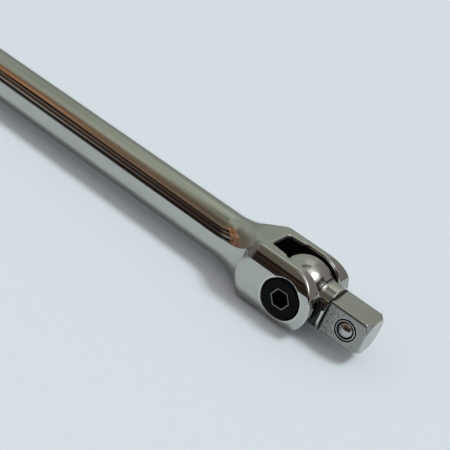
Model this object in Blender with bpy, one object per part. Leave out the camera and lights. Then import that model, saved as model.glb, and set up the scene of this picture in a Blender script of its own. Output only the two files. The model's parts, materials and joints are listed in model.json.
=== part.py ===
"""Breaker bar: a forged handle with a yoke, and a square drive head that swivels in it.

Metres, +Z up. The origin is the centre of the square drive's end face. +X runs along the bar and
out of the drive, Y is the direction of the swivel axis, and the near ear is the one at -Y.
"""

import math

import bmesh
import bpy
from mathutils import Matrix, Vector

MM = 0.001

# Square drive: 1/2 inch, with corners left from the round bar that it is milled from.
SQUARE = 12.7 * MM
COLLAR_R = 8.6 * MM
END_R = 6.8 * MM
END_CHAMFER = 1.9 * MM

# Distances along the bar from the swivel axis.
PIVOT_TO_END = 30.3 * MM
PIVOT_TO_SHOULDER = 14.0 * MM
PIVOT_TO_DETENT = 22.8 * MM
BAR_LENGTH = 450.0 * MM

# Ball knuckle.
BALL_R = 12.0 * MM
KNUCKLE_HALF = 6.9 * MM
NECK_FILLET = 1.2 * MM
RELIEF_R = 13.0 * MM

# Yoke: a round body with two pairs of flats and full-round ears.
YOKE_R = 15.6 * MM
YOKE_HALF_Y = 14.3 * MM
YOKE_HALF_Z = 11.6 * MM
SLOT_REAR = -14.0 * MM
SLOT_HALF_REAR = 5.7 * MM
SLOT_HALF_FRONT = 6.5 * MM
SLOT_CORNER = 1.2 * MM
POCKET_R = 13.2 * MM
POCKET_HALF = 7.3 * MM
YOKE_FILLET = 25.0 * MM
YOKE_SHOULDER = 4.0 * MM
FILLET_START = -34.0 * MM
FORGING_FRONT = 16.0 * MM

# Shank and grip.
SHANK_R = 9.05 * MM
GRIP_R = 9.9 * MM
GRIP_START = -276.0 * MM
GRIP_LENGTH = 130.0 * MM
GROOVE_R = 9.0 * MM
GROOVE_WIDTH = 2.0 * MM
GRIP_CHAMFER = 1.0 * MM
POMMEL_R = 10.4 * MM
POMMEL_EDGE = 3.5 * MM

# Pivot: an M8 socket screw in a barrel nut, each in a counterbore.
COUNTERBORE_R = 7.7 * MM
COUNTERBORE_DEPTH = 4.0 * MM
PIVOT_HOLE_R = 6.3 * MM
SLEEVE_R = 6.0 * MM
SLEEVE_BORE_R = 4.2 * MM
SCREW_R = 3.9 * MM
SCREW_END = 8.0 * MM
SCREW_TIP_R = 2.9 * MM
HEAD_R = 7.4 * MM
HEAD_RECESS = 0.2 * MM
HEAD_THICKNESS = 2.7 * MM
HEAD_EDGE = 0.7 * MM
HEX_ACROSS_FLATS = 6.0 * MM
HEX_DEPTH = 4.5 * MM
HEX_TURN = math.radians(26.0)
NUT_HEX_DEPTH = 3.5 * MM

# Washers.
WASHER_THICKNESS = 0.8 * MM
THRUST_R = 8.7 * MM
THRUST_BORE_R = 6.5 * MM
RECESS_R = 9.0 * MM
RECESS_DEPTH = 0.9 * MM
LOCK_R = 7.2 * MM
LOCK_BORE_R = 4.3 * MM
LOCK_SPLIT = 0.8 * MM

# Detent in the near flat of the square.
DETENT_BALL_R = 3.175 * MM
DETENT_CENTRE_DEPTH = 1.65 * MM
DETENT_LIP_R = 3.0 * MM
DETENT_MOUTH_R = 3.25 * MM
DETENT_BORE_R = 3.5 * MM
DETENT_LIP_TOP = 0.2 * MM
DETENT_LIP_BOTTOM = 0.4 * MM
DETENT_BORE_TOP = 0.65 * MM
DETENT_DEPTH = 9.6 * MM
STAKE_RING_R = 3.9 * MM
STAKE_RING_HALF = 0.32 * MM
STAKE_RING_DEPTH = 0.3 * MM

# Plunger and its spring, in a bore at the back of the slot.
PLUNGER_R = 3.0 * MM
PLUNGER_BORE_R = 3.2 * MM
PLUNGER_BORE_END = -32.0 * MM
PLUNGER_NOSE = -12.6 * MM
PLUNGER_BACK = -20.5 * MM
STEM_R = 1.4 * MM
STEM_LENGTH = 2.2 * MM
TENSION_COIL_R = 2.3 * MM
TENSION_WIRE_R = 0.4 * MM
TENSION_TURNS = 6.0
DETENT_COIL_R = 2.2 * MM
DETENT_WIRE_R = 0.3 * MM
DETENT_TURNS = 4.0

GAP = 0.3 * MM
OVER = 5.0 * MM
TURN = 2.0 * math.pi
AXES = {"X": Vector((1.0, 0.0, 0.0)), "Y": Vector((0.0, 1.0, 0.0))}
FROM_Z = {
    "X": Matrix.Rotation(math.radians(90.0), 4, "Y"),
    "Y": Matrix.Rotation(math.radians(-90.0), 4, "X"),
}
SMOOTH_ANGLE = math.radians(35.0)

# How finely round surfaces are divided.
BAR_SEGMENTS = 56
HEAD_SEGMENTS = 48
WASHER_SEGMENTS = 32
SMALL_SEGMENTS = 24
FINE_STEP = 6.5
COARSE_STEP = 20.0
BALL_STEP = 12.0
SPRING_SIDES = 5
SPRING_STEPS = 10

# Colour, roughness and metallic value of each material.
SKINS = {
    "chrome": ((0.75, 0.75, 0.73), 0.12, 1.0),
    "satin_chrome": ((0.62, 0.63, 0.61), 0.3, 1.0),
    "black_oxide": ((0.025, 0.027, 0.03), 0.35, 0.6),
    "hardened_steel": ((0.55, 0.55, 0.54), 0.25, 1.0),
    "spring_steel": ((0.45, 0.44, 0.42), 0.35, 1.0),
}


def clear_scene():
    for old in list(bpy.data.objects):
        bpy.data.objects.remove(old, do_unlink=True)


def make_skin(name):
    colour, roughness, metallic = SKINS[name]
    made = bpy.data.materials.new(name)
    made.use_nodes = True
    shader = made.node_tree.nodes["Principled BSDF"]
    shader.inputs["Base Color"].default_value = (*colour, 1.0)
    shader.inputs["Roughness"].default_value = roughness
    shader.inputs["Metallic"].default_value = metallic
    return made


def add_object(name, mesh, parent, skin=None):
    made = bpy.data.objects.new(name, mesh)
    bpy.context.scene.collection.objects.link(made)
    made.parent = parent
    if skin is not None:
        mesh.materials.append(skin)
    return made


def finish_mesh(name, bm):
    """Turn a bmesh into a mesh with merged seams, outward faces and smooth round surfaces."""
    bmesh.ops.remove_doubles(bm, verts=bm.verts, dist=1e-6)
    bmesh.ops.dissolve_degenerate(bm, edges=bm.edges, dist=1e-6)
    bmesh.ops.recalc_face_normals(bm, faces=bm.faces)
    mesh = bpy.data.meshes.new(name)
    bm.to_mesh(mesh)
    bm.free()
    mesh.shade_smooth()
    mesh.set_sharp_from_angle(angle=SMOOTH_ANGLE)
    return mesh


def arc(centre, radius, start, end, step=COARSE_STEP):
    """Points of an arc in the plane of a profile, angles in degrees from the first axis."""
    steps = max(2, round(abs(end - start) / step))
    points = []
    for i in range(steps + 1):
        angle = math.radians(start + (end - start) * i / steps)
        points.append((centre[0] + radius * math.cos(angle), centre[1] + radius * math.sin(angle)))
    return points


def lathe(name, profile, axis, segments):
    """Turn a profile of (along the axis, radius) points round the X or Y axis."""
    bm = bmesh.new()
    points = []
    for along, radius in profile:
        points.append(bm.verts.new(AXES[axis] * along + Vector((0.0, 0.0, radius))))
    edges = [bm.edges.new(pair) for pair in zip(points, points[1:])]
    if profile[0][1] > 0.0:
        edges.append(bm.edges.new((points[-1], points[0])))
    bmesh.ops.spin(
        bm, geom=points + edges, cent=(0.0, 0.0, 0.0), axis=AXES[axis], angle=TURN,
        steps=segments, use_merge=True,
    )
    return finish_mesh(name, bm)


def cylinder(name, axis, radius, low, high, segments):
    bm = bmesh.new()
    middle = Matrix.Translation((0.0, 0.0, (low + high) / 2.0))
    bmesh.ops.create_cone(
        bm, cap_ends=True, segments=segments, radius1=radius, radius2=radius, depth=high - low,
        matrix=FROM_Z[axis] @ middle,
    )
    return finish_mesh(name, bm)


def block(name, low, high):
    bm = bmesh.new()
    bmesh.ops.create_cube(bm, size=1.0)
    low = Vector(low)
    high = Vector(high)
    bmesh.ops.scale(bm, vec=high - low, verts=bm.verts)
    bmesh.ops.translate(bm, vec=(high + low) / 2.0, verts=bm.verts)
    return finish_mesh(name, bm)


def prism(name, outline, low, high):
    """Extrude an outline of (x, y) points along Z."""
    bm = bmesh.new()
    base = bm.faces.new([bm.verts.new((x, y, low)) for x, y in outline])
    raised = bmesh.ops.extrude_face_region(bm, geom=[base])
    top = [item for item in raised["geom"] if isinstance(item, bmesh.types.BMVert)]
    bmesh.ops.translate(bm, vec=(0.0, 0.0, high - low), verts=top)
    return finish_mesh(name, bm)


def cut(target, mesh, operation="DIFFERENCE", move=(0.0, 0.0, 0.0)):
    """Cut target with a hidden tool that rides on the same parent."""
    tool = add_object("cutter_" + mesh.name, mesh, target.parent)
    tool.location = target.location + Vector(move)
    tool.hide_render = True
    tool.display_type = "WIRE"
    boolean = target.modifiers.new(mesh.name, "BOOLEAN")
    boolean.operation = operation
    boolean.solver = "EXACT"
    boolean.object = tool


def coil(name, axis, start, end, radius, wire_r, turns):
    """A coil spring along X or Y, wound as a closed tube with flat ends."""
    bm = bmesh.new()
    steps = int(turns * SPRING_STEPS)
    rings = []
    slope = math.atan2(end - start, TURN * radius * turns)
    for i in range(steps + 1):
        angle = TURN * turns * i / steps
        outward = Vector((0.0, math.cos(angle), math.sin(angle)))
        forward = Vector((0.0, -math.sin(angle), math.cos(angle)))
        side = AXES["X"] * math.cos(slope) - forward * math.sin(slope)
        centre = AXES["X"] * (start + (end - start) * i / steps) + outward * radius
        ring = []
        for k in range(SPRING_SIDES):
            turn = TURN * k / SPRING_SIDES
            offset = outward * math.cos(turn) + side * math.sin(turn)
            ring.append(bm.verts.new(centre + offset * wire_r))
        rings.append(ring)
    for first, second in zip(rings, rings[1:]):
        for k in range(SPRING_SIDES):
            after = (k + 1) % SPRING_SIDES
            bm.faces.new((first[k], first[after], second[after], second[k]))
    bm.faces.new(list(reversed(rings[0])))
    bm.faces.new(rings[-1])
    if axis == "Y":
        bmesh.ops.rotate(bm, matrix=Matrix.Rotation(math.radians(90.0), 3, "Z"), verts=bm.verts)
    return finish_mesh(name, bm)


def handle_profile():
    """The forging's half outline, from the pommel's end to past the ears."""
    end = PIVOT_TO_END - BAR_LENGTH
    grip_end = GRIP_START - GRIP_LENGTH
    profile = [(end, 0.0)]
    profile += arc((end + POMMEL_EDGE, POMMEL_R - POMMEL_EDGE), POMMEL_EDGE, 180.0, 90.0)
    profile += [
        (grip_end - GROOVE_WIDTH - GRIP_CHAMFER, POMMEL_R),
        (grip_end - GROOVE_WIDTH, GROOVE_R),
        (grip_end, GROOVE_R),
        (grip_end + GRIP_CHAMFER, GRIP_R),
        (GRIP_START - GRIP_CHAMFER, GRIP_R),
        (GRIP_START, SHANK_R),
        (FILLET_START, SHANK_R),
    ]
    centre_r = SHANK_R + YOKE_FILLET
    shoulder_r = YOKE_R - YOKE_SHOULDER
    apart = YOKE_FILLET + YOKE_SHOULDER
    slope = math.degrees(math.acos((centre_r - shoulder_r) / apart))
    reach = apart * math.sin(math.radians(slope))
    profile += arc((FILLET_START, centre_r), YOKE_FILLET, -90.0, -90.0 + slope, FINE_STEP)[1:]
    profile += arc((FILLET_START + reach, shoulder_r), YOKE_SHOULDER, 90.0 + slope, 90.0, FINE_STEP)[1:]
    profile += [(FORGING_FRONT, YOKE_R), (FORGING_FRONT, 0.0)]
    return profile


def slot_outline():
    """The slot seen from above: flared sides and a straight rear wall with round corners."""
    front = YOKE_R + OVER
    flare = -POCKET_R / 2.0
    corner_x = SLOT_REAR + SLOT_CORNER
    corner_y = SLOT_HALF_REAR - SLOT_CORNER
    outline = [(front, -SLOT_HALF_FRONT), (front, SLOT_HALF_FRONT), (flare, SLOT_HALF_FRONT)]
    outline += arc((corner_x, corner_y), SLOT_CORNER, 90.0, 180.0)
    outline += arc((corner_x, -corner_y), SLOT_CORNER, 180.0, 270.0)
    outline.append((flare, -SLOT_HALF_FRONT))
    return outline


def make_handle(pivot, skin):
    mesh = lathe("handle_bar", handle_profile(), "X", BAR_SEGMENTS)
    handle = add_object("handle_bar", mesh, pivot, skin)
    behind = PIVOT_TO_END - BAR_LENGTH - OVER
    ahead = YOKE_R + OVER
    beyond = YOKE_HALF_Z + OVER
    flats = block("flats", (behind, -YOKE_HALF_Y, -YOKE_HALF_Z), (ahead, YOKE_HALF_Y, YOKE_HALF_Z))
    cut(handle, flats, "INTERSECT")
    outside = arc((0.0, 0.0), YOKE_HALF_Z, 90.0, -90.0, FINE_STEP)
    outside += [(0.0, -beyond), (ahead, -beyond), (ahead, beyond), (0.0, beyond)]
    ear_ends = prism("ear_ends", outside, -ahead, ahead)
    ear_ends.transform(Matrix.Rotation(math.radians(90.0), 4, "X"))
    cut(handle, ear_ends)
    cut(handle, prism("slot", slot_outline(), -YOKE_R, YOKE_R))
    cut(handle, cylinder("pocket", "Y", POCKET_R, -POCKET_HALF, POCKET_HALF, BAR_SEGMENTS))
    cut(handle, cylinder("pivot_bore", "Y", PIVOT_HOLE_R, -YOKE_R, YOKE_R, SMALL_SEGMENTS))
    floor = YOKE_HALF_Y - COUNTERBORE_DEPTH
    cut(handle, cylinder("counterbore_near", "Y", COUNTERBORE_R, -ahead, -floor, SMALL_SEGMENTS))
    cut(handle, cylinder("counterbore_far", "Y", COUNTERBORE_R, floor, ahead, SMALL_SEGMENTS))
    front = SLOT_REAR + OVER
    cut(handle, cylinder("plunger_bore", "X", PLUNGER_BORE_R, PLUNGER_BORE_END, front, SMALL_SEGMENTS))


def head_profile():
    """The head's half outline: ball, neck fillet, collar, and the turned end of the square."""
    reach = BALL_R + NECK_FILLET
    rise = COLLAR_R + NECK_FILLET
    neck_x = math.sqrt(reach * reach - rise * rise)
    meet = math.degrees(math.atan2(rise, neck_x))
    profile = arc((0.0, 0.0), BALL_R, 180.0, meet, FINE_STEP)
    profile[0] = (-BALL_R, 0.0)
    profile += arc((neck_x, rise), NECK_FILLET, 180.0 + meet, 270.0)[1:]
    profile += [(PIVOT_TO_END - END_CHAMFER, COLLAR_R), (PIVOT_TO_END, END_R), (PIVOT_TO_END, 0.0)]
    return profile


def detent_profile():
    """The staked hole's half outline, from above the flat down to the cone at its bottom."""
    face = -SQUARE / 2.0
    return [
        (face - OVER, 0.0),
        (face - OVER, DETENT_MOUTH_R),
        (face, DETENT_MOUTH_R),
        (face + DETENT_LIP_TOP, DETENT_LIP_R),
        (face + DETENT_LIP_BOTTOM, DETENT_LIP_R),
        (face + DETENT_BORE_TOP, DETENT_BORE_R),
        (face + DETENT_DEPTH, DETENT_BORE_R),
        (face + DETENT_DEPTH + DETENT_BORE_R / 2.0, 0.0),
    ]


def stake_profile():
    """The shallow ring pressed into the flat to stake the hole's lip."""
    face = -SQUARE / 2.0
    return [
        (face - OVER, STAKE_RING_R - STAKE_RING_HALF),
        (face - OVER, STAKE_RING_R + STAKE_RING_HALF),
        (face, STAKE_RING_R + STAKE_RING_HALF),
        (face + STAKE_RING_DEPTH, STAKE_RING_R),
        (face, STAKE_RING_R - STAKE_RING_HALF),
    ]


def make_head(pivot, skin):
    mesh = lathe("drive_head", head_profile(), "X", HEAD_SEGMENTS)
    head = add_object("drive_head", mesh, pivot, skin)
    wide = COLLAR_R + OVER
    front = PIVOT_TO_END + OVER
    for index in range(4):
        name = "square_flat_%d" % index
        side = block(name, (PIVOT_TO_SHOULDER, -wide, SQUARE / 2.0), (front, wide, wide))
        side.transform(Matrix.Rotation(TURN * index / 4.0, 4, "X"))
        cut(head, side)
    for sign, label in ((-1.0, "near"), (1.0, "far")):
        outer = sign * (BALL_R + OVER)
        low, high = sorted((sign * KNUCKLE_HALF, outer))
        cut(head, cylinder("knuckle_flat_" + label, "Y", RELIEF_R, low, high, BAR_SEGMENTS))
        low, high = sorted((sign * (KNUCKLE_HALF - RECESS_DEPTH), outer))
        cut(head, cylinder("washer_recess_" + label, "Y", RECESS_R, low, high, SMALL_SEGMENTS))
    cut(head, cylinder("knuckle_bore", "Y", PIVOT_HOLE_R, -BALL_R, BALL_R, SMALL_SEGMENTS))
    place = (PIVOT_TO_DETENT, 0.0, 0.0)
    cut(head, lathe("detent_hole", detent_profile(), "Y", SMALL_SEGMENTS), move=place)
    cut(head, lathe("stake_ring", stake_profile(), "Y", SMALL_SEGMENTS), move=place)
    return head


def cut_hex(target, label, low, high):
    """A hex socket from low to high along the swivel axis."""
    corner_r = HEX_ACROSS_FLATS / math.sqrt(3.0)
    socket = cylinder("hex_socket_" + label, "Y", corner_r, low, high, 6)
    socket.transform(Matrix.Rotation(HEX_TURN, 4, "Y"))
    cut(target, socket)


def make_screw(pivot, skin):
    top = -YOKE_HALF_Y + HEAD_RECESS
    under = top + HEAD_THICKNESS
    chamfer = SCREW_R - SCREW_TIP_R
    profile = [(top, 0.0)]
    profile += arc((top + HEAD_EDGE, HEAD_R - HEAD_EDGE), HEAD_EDGE, 180.0, 90.0)
    profile += [(under, HEAD_R), (under, SCREW_R)]
    profile += [(SCREW_END - chamfer, SCREW_R), (SCREW_END, SCREW_TIP_R), (SCREW_END, 0.0)]
    screw = add_object("pivot_screw", lathe("pivot_screw", profile, "Y", HEAD_SEGMENTS), pivot, skin)
    cut_hex(screw, "screw", top - OVER, top + HEX_DEPTH)


def make_sleeve(pivot, skin):
    """Barrel nut: a head in the far counterbore and a sleeve through to the lock washer."""
    top = YOKE_HALF_Y - HEAD_RECESS
    under = YOKE_HALF_Y - COUNTERBORE_DEPTH + GAP
    near = -YOKE_HALF_Y + COUNTERBORE_DEPTH
    bore_end = SCREW_END + 2.0 * GAP
    profile = [(near, SLEEVE_BORE_R), (near, SLEEVE_R), (under, SLEEVE_R), (under, HEAD_R)]
    profile += arc((top - HEAD_EDGE, HEAD_R - HEAD_EDGE), HEAD_EDGE, 90.0, 0.0)
    profile += [(top, 0.0), (bore_end, 0.0), (bore_end, SLEEVE_BORE_R)]
    mesh = lathe("pivot_sleeve_nut", profile, "Y", HEAD_SEGMENTS)
    sleeve = add_object("pivot_sleeve_nut", mesh, pivot, skin)
    cut_hex(sleeve, "nut", top - NUT_HEX_DEPTH, top + OVER)


def ring_profile(low, high, inner, outer):
    return [(low, inner), (low, outer), (high, outer), (high, inner)]


def make_washers(pivot, skin):
    clearance = (POCKET_HALF - KNUCKLE_HALF + RECESS_DEPTH - WASHER_THICKNESS) / 2.0
    inner_face = POCKET_HALF - clearance - WASHER_THICKNESS
    for sign, label in ((-1.0, "near"), (1.0, "far")):
        low, high = sorted((sign * inner_face, sign * (inner_face + WASHER_THICKNESS)))
        profile = ring_profile(low, high, THRUST_BORE_R, THRUST_R)
        name = "thrust_washer_" + label
        add_object(name, lathe(name, profile, "Y", WASHER_SEGMENTS), pivot, skin)
    low = -YOKE_HALF_Y + HEAD_RECESS + HEAD_THICKNESS + GAP / 2.0
    high = low + WASHER_THICKNESS
    profile = ring_profile(low, high, LOCK_BORE_R, LOCK_R)
    lock = add_object("lock_washer", lathe("lock_washer", profile, "Y", WASHER_SEGMENTS), pivot, skin)
    half = LOCK_SPLIT / 2.0
    cut(lock, block("split", (0.0, low - GAP, -half), (COUNTERBORE_R, high + GAP, half)))


def make_plunger(pivot, skin, spring_skin):
    stem_end = PLUNGER_BACK - STEM_LENGTH
    profile = [(stem_end, 0.0), (stem_end, STEM_R), (PLUNGER_BACK, STEM_R), (PLUNGER_BACK, PLUNGER_R)]
    profile += arc((PLUNGER_NOSE - PLUNGER_R, 0.0), PLUNGER_R, 90.0, 0.0, BALL_STEP)
    profile[-1] = (PLUNGER_NOSE, 0.0)
    add_object("tension_plunger", lathe("tension_plunger", profile, "X", SMALL_SEGMENTS), pivot, skin)
    start = PLUNGER_BORE_END + TENSION_WIRE_R + GAP
    end = PLUNGER_BACK - TENSION_WIRE_R - GAP
    mesh = coil("tension_spring", "X", start, end, TENSION_COIL_R, TENSION_WIRE_R, TENSION_TURNS)
    add_object("tension_spring", mesh, pivot, spring_skin)


def make_detent(head, ball_skin, spring_skin):
    """The ball and its spring, which ride in the head."""
    centre = -SQUARE / 2.0 + DETENT_CENTRE_DEPTH
    profile = arc((centre, 0.0), DETENT_BALL_R, 180.0, 0.0, BALL_STEP)
    profile[0] = (centre - DETENT_BALL_R, 0.0)
    profile[-1] = (centre + DETENT_BALL_R, 0.0)
    mesh = lathe("detent_ball", profile, "Y", SMALL_SEGMENTS)
    ball = add_object("detent_ball", mesh, head, ball_skin)
    ball.location.x = PIVOT_TO_DETENT
    touch = DETENT_BALL_R + DETENT_WIRE_R
    start = centre + math.sqrt(touch * touch - DETENT_COIL_R * DETENT_COIL_R) + GAP
    end = -SQUARE / 2.0 + DETENT_DEPTH - DETENT_WIRE_R - GAP
    mesh = coil("detent_spring", "Y", start, end, DETENT_COIL_R, DETENT_WIRE_R, DETENT_TURNS)
    spring = add_object("detent_spring", mesh, head, spring_skin)
    spring.location.x = PIVOT_TO_DETENT


def main():
    clear_scene()
    skins = {name: make_skin(name) for name in SKINS}
    pivot = bpy.data.objects.new("pivot", None)
    bpy.context.scene.collection.objects.link(pivot)
    pivot.location.x = -PIVOT_TO_END
    make_handle(pivot, skins["chrome"])
    head = make_head(pivot, skins["satin_chrome"])
    make_screw(pivot, skins["black_oxide"])
    make_sleeve(pivot, skins["black_oxide"])
    make_washers(pivot, skins["hardened_steel"])
    make_plunger(pivot, skins["hardened_steel"], skins["spring_steel"])
    make_detent(head, skins["hardened_steel"], skins["spring_steel"])


main()
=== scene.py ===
# Looks of the breaker bar. The larger pieces are meshed from distance fields, so that their edges
# are softly rounded like polished forgings. Lengths are in millimetres from the swivel axis, with
# +X along the bar, Y along the swivel axis and +Z up, until to_frame() turns them into metres.

import json
import math

import bmesh
import bpy
import numpy as np
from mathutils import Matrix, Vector


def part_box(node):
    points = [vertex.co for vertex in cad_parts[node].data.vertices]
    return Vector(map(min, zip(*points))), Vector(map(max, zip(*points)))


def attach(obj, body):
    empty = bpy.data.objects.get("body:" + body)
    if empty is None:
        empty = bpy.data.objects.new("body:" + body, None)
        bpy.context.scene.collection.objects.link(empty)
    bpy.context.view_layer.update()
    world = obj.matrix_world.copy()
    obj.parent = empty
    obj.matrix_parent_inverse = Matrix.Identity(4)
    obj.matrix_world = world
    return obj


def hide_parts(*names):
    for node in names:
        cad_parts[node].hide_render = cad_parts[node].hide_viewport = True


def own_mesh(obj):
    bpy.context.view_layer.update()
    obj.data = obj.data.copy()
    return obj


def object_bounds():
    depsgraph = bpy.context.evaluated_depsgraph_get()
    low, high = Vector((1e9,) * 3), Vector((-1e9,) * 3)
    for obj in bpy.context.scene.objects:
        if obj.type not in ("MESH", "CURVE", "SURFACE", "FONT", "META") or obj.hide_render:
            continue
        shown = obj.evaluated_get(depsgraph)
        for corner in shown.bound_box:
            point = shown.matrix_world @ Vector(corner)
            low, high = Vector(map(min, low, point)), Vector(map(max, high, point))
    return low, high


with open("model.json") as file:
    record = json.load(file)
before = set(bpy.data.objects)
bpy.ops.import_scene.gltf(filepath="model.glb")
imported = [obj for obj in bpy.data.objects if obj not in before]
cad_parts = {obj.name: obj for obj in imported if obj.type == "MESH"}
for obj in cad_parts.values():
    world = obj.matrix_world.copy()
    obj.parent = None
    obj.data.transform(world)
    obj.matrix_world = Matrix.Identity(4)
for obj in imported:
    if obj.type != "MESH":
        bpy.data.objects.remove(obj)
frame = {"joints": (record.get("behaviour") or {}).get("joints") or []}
cad_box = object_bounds()

MM = 0.001


def span(node, axis):
    """Low and high end of a CAD node along an axis, in mm."""
    low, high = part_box(node)
    return low[axis] / MM, high[axis] / MM


# Measures taken from the frame.
JOINTS = {joint["name"]: joint for joint in frame["joints"]}
PIVOT = JOINTS["head_swivel"]["pos_m"][0] / MM
DRIVE_END = span("drive_head", 0)[1] - PIVOT
BAR_BACK = span("handle_bar", 0)[0] - PIVOT
YOKE_W = span("handle_bar", 1)[1]
YOKE_H = span("handle_bar", 0)[1] - PIVOT
KNUCKLE_R = span("drive_head", 2)[1]
COLLAR_R = span("drive_head", 1)[1]
HEAD_TOP = -span("pivot_screw", 1)[0]
HEAD_R = span("pivot_screw", 2)[1]
SCREW_END = span("pivot_screw", 1)[1]
DETENT_R = span("detent_ball", 2)[1]
DETENT_X = sum(span("detent_ball", 0)) / 2.0 - PIVOT
DETENT_Y = sum(span("detent_ball", 1)) / 2.0
LOWEST = cad_box[0].z

# Shank and yoke.
SHANK_R = 9.05
YOKE_R = 15.6
FILLET = 25.0
SHOULDER = 4.0
FILLET_START = -34.0
YOKE_START = -36.0
SLOT_REAR = -14.0
SLOT_HALF_REAR = 5.7
SLOT_HALF_FRONT = 6.5
SLOT_FLARE = 7.4
SLOT_CORNER = 1.2
POCKET_R = 13.2
POCKET_HALF = 7.3
FORGED_EDGE = 0.65
SLOT_EDGE = 0.35
HOLE_R = 6.3
COUNTERBORE_R = 7.7
COUNTERBORE_FLOOR = YOKE_W - 4.0
COUNTERBORE_EDGE = 0.35
PLUNGER_BORE_R = 3.2
PLUNGER_BORE_END = -32.0

# Grip.
GRIP_START = -276.0
GRIP_END = -406.0
GRIP_R = 9.9
KNURL_DEPTH = 0.45
KNURL_COUNT = 36
KNURL_PITCH = 2.8
KNURL_CUTS = 6
KNURL_STEEPNESS = 1.3
KNURL_CREST = 0.85
PLAIN_END = 2.0
GROOVE_R = 9.0
GROOVE_WIDTH = 2.0
GRIP_CHAMFER = 1.0
POMMEL_R = 10.4
POMMEL_EDGE = 3.5
POMMEL_STEPS = 16

# Drive head.
SQUARE_HALF = 6.35
SHOULDER_X = 14.0
KNUCKLE_HALF = 6.9
RELIEF_R = 13.0
NECK_FILLET = 1.2
HEAD_SOFT_EDGE = 0.25
RELIEF_EDGE = 0.3
SQUARE_CORNER = 0.2
END_R = 6.8
END_CHAMFER = 1.9
RECESS_R = 9.0
RECESS_FLOOR = 6.0
MOUTH_DEPTH = 0.25
LIP_DEPTH = 0.45
DETENT_HOLE_DEPTH = 9.6
LIP_R = 3.0
MOUTH_R = 3.25
DETENT_BORE_R = 3.5
STAKE_R = 3.9
STAKE_HALF = 0.36
STAKE_DEPTH = 0.3

# Pivot screw and nut.
HEAD_EDGE = 1.2
HEAD_THICKNESS = 2.7
UNDER_FILLET = 0.3
PLAIN_SHAFT_END = -6.0
SCREW_CHAMFER = 1.0
THREAD_R = 3.9
THREAD_PITCH = 1.25
THREAD_DEPTH = 0.55
HEX_EDGE = 0.16
HEX_HALF = 3.0
HEX_DEPTH = 4.5
NUT_HEX_DEPTH = 3.5
HEX_TURN = math.radians(3.6)
SLEEVE_R = 6.0
SLEEVE_BORE_R = 4.2
SLEEVE_NEAR = -10.3
SLEEVE_BORE_PAST = 0.6
SLEEVE_BORE_EDGE = 0.25
NUT_LIFT = 0.3

# Washers. The lock ring is split by LOCK_GAP radians on each side, and its ends step by LOCK_LIFT.
THRUST_INNER_R = 6.5
WASHER_EDGE = 0.12
LOCK_INNER_R = 4.3
LOCK_MIDDLE_R = 5.7
LOCK_EDGE = 0.1
LOCK_GAP = 0.055
LOCK_LIFT = 0.12

# Plunger and springs: coil radius, wire radius and number of turns.
STEM_R = 1.4
STEM_LENGTH = 2.2
PLUNGER_EDGE = 0.2
PLUNGER_COIL = (2.3, 0.4, 6.0)
DETENT_COIL = (2.2, 0.3, 4.0)

# Spacings of the grids that pieces are meshed on, and margins between a surface and its grid's end.
HANDLE_GRID = 0.32
HEAD_GRID = 0.27
HEAD_FINE_GRID = 0.14
PIVOT_GRID = 0.16
PIVOT_FACE_GRID = 0.12
SCREW_GRID = 0.22
NUT_GRID = 0.3
BALL_GRID = 0.16
MARGIN = 1.0
SMALL_MARGIN = 0.5


# ---------------------------------------------------------------- distance fields
# Each takes coordinates and gives a distance, below zero inside. Where a field would rise faster
# than the distance does, it is scaled by one of these.

MOUTH_EASE = 0.6
STAKE_EASE = 0.7
THREAD_EASE = 0.7


def round_and(a, b, radius):
    """Where both fields are inside, with the edge between them rounded."""
    over_a = np.maximum(a + radius, 0.0)
    over_b = np.maximum(b + radius, 0.0)
    return np.minimum(np.maximum(a, b), -radius) + np.hypot(over_a, over_b)


def round_or(a, b, radius):
    """Where either field is inside, with a fillet between them."""
    over_a = np.maximum(radius - a, 0.0)
    over_b = np.maximum(radius - b, 0.0)
    return np.maximum(np.minimum(a, b), radius) - np.hypot(over_a, over_b)


def bar_radius(x):
    """Radius of the turned forging along the bar, and its slope."""
    centre_r = SHANK_R + FILLET
    slope = math.acos((centre_r - YOKE_R + SHOULDER) / (FILLET + SHOULDER))
    turn = FILLET * math.sin(slope)
    full = (FILLET + SHOULDER) * math.sin(slope)
    into_fillet = np.clip(x - FILLET_START, 0.0, turn)
    before_full = np.clip(FILLET_START + full - x, 0.0, full - turn)
    fillet_fall = np.sqrt(FILLET ** 2 - into_fillet ** 2)
    shoulder_fall = np.sqrt(SHOULDER ** 2 - before_full ** 2)
    in_fillet = x < FILLET_START + turn
    radius = np.where(in_fillet, centre_r - fillet_fall, YOKE_R - SHOULDER + shoulder_fall)
    rise = np.where(in_fillet, into_fillet / fillet_fall, before_full / shoulder_fall)
    return radius, rise


def forging_field(x, y, z):
    """The handle's outer shape, before its slot and bores."""
    radius, rise = bar_radius(x)
    field = (np.hypot(y, z) - radius) / np.sqrt(1.0 + rise ** 2)
    field = round_and(field, np.hypot(np.maximum(x, 0.0), z) - YOKE_H, FORGED_EDGE)
    return round_and(field, np.abs(y) - YOKE_W, FORGED_EDGE)


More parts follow.
